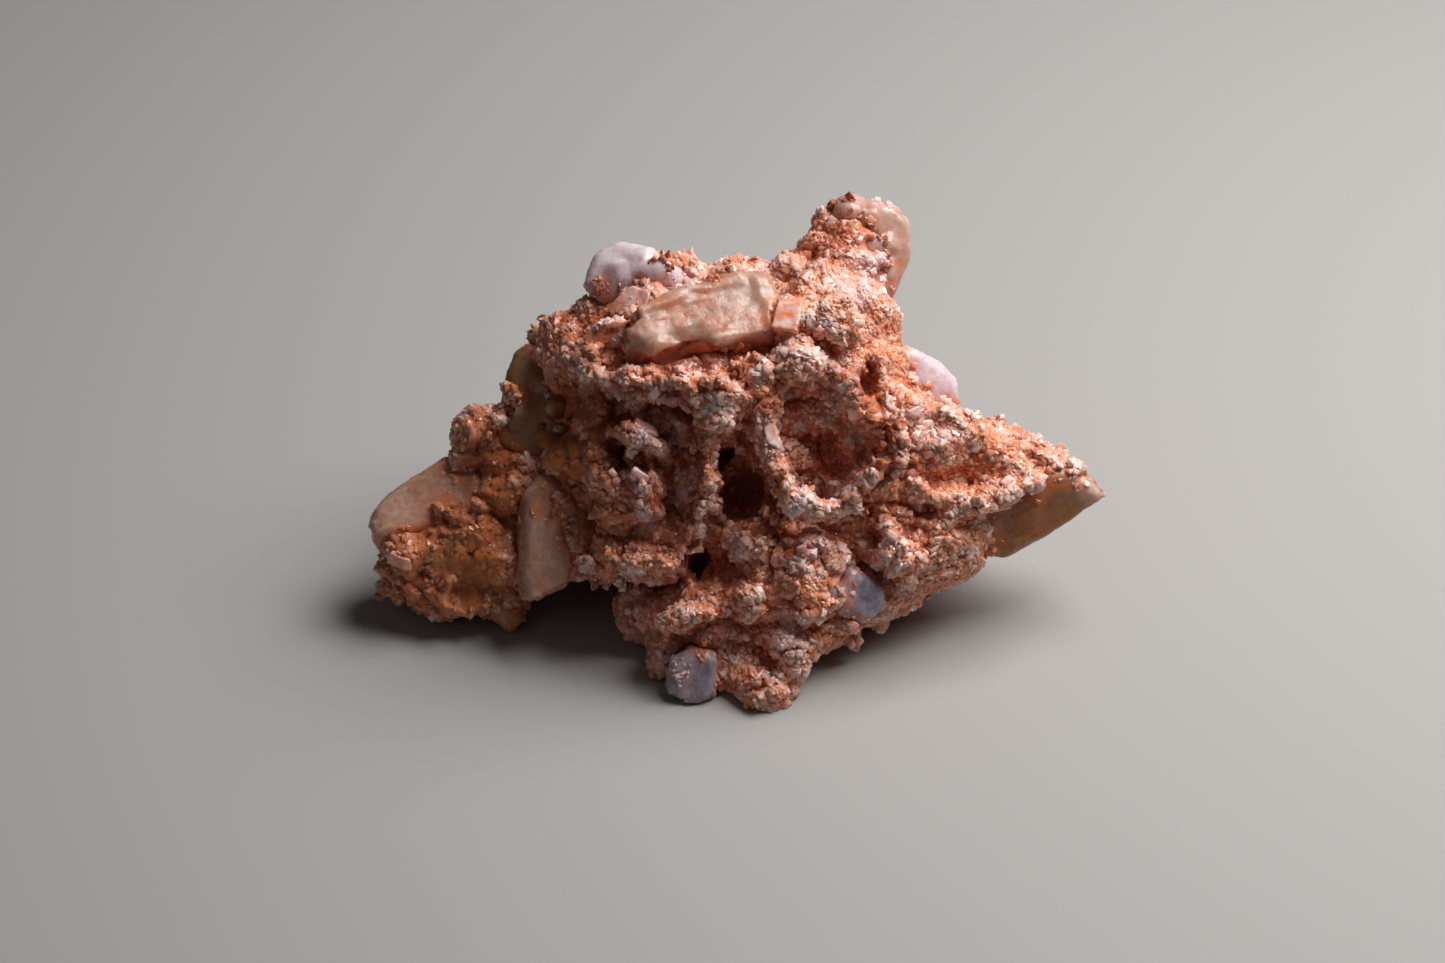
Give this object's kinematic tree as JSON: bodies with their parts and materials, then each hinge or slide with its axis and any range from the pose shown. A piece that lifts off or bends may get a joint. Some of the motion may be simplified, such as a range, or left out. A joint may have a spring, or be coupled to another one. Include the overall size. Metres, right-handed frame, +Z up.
{
  "type": "stilbite specimen",
  "caption": "Hand-sized mineral cluster: a salmon crust of fine crystals with milky blade crystals seated in it, resting on its own flattened feet.",
  "frame": {"origin": "on the resting plane, under the middle of the bounding box", "axes": "+X along the cluster's length, towards its pointed end; the display face looks towards -Y and up; +Z up"},
  "size_m": [0.0786, 0.0482, 0.0405],
  "materials": {
    "salmon_druse": "crust of small translucent crystals, sparkling, rusty in its seams",
    "tan_crystal": "milky and translucent, worn satin",
    "lavender_crystal": "milky and translucent with a cool cast, glassy"
  },
  "bodies": {
    "root": {"drusy_crust": "salmon_druse", "upper_blade_crystal": "tan_crystal", "shoulder_crystal": "lavender_crystal", "left_back_crystal": "tan_crystal", "left_end_crystal": "tan_crystal", "column_crystal": "tan_crystal", "horn_crystal": "tan_crystal", "right_back_crystal": "lavender_crystal", "right_tip_crystal": "tan_crystal", "lower_prism_crystal": "lavender_crystal", "foot_crystal": "lavender_crystal", "rear_blade_crystal": "tan_crystal", "rear_prism_crystal": "tan_crystal"}
  },
  "joints": []
}
